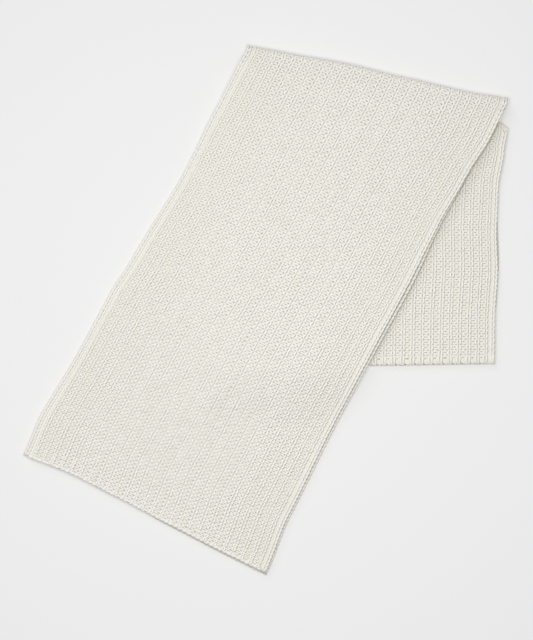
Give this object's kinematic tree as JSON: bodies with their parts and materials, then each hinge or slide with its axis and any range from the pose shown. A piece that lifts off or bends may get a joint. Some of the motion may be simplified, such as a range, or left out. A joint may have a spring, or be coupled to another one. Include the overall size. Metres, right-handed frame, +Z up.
{
  "type": "knit scarf",
  "caption": "Chunky rib-knitted scarf, doubled end to end and folded over once more at a slant, lying flat on a table.",
  "frame": {"origin": "middle of the folded scarf's footprint, on the table it lies on", "axes": "+Z up from the table, +X to the right and +Y away from the viewer, so that the under stretch runs down along -Y and the top stretch runs down to the left"},
  "size_m": [0.5495, 0.6032, 0.0214],
  "materials": {
    "knit_top": "matt chunky rib knit, cream wool",
    "knit_under": "matt chunky rib knit, cream wool",
    "knit_hidden": "matt chunky rib knit, cream wool"
  },
  "bodies": {
    "root": {"top_stretch": "knit_top", "under_stretch": "knit_under", "hidden_layers": "knit_hidden"}
  },
  "joints": []
}
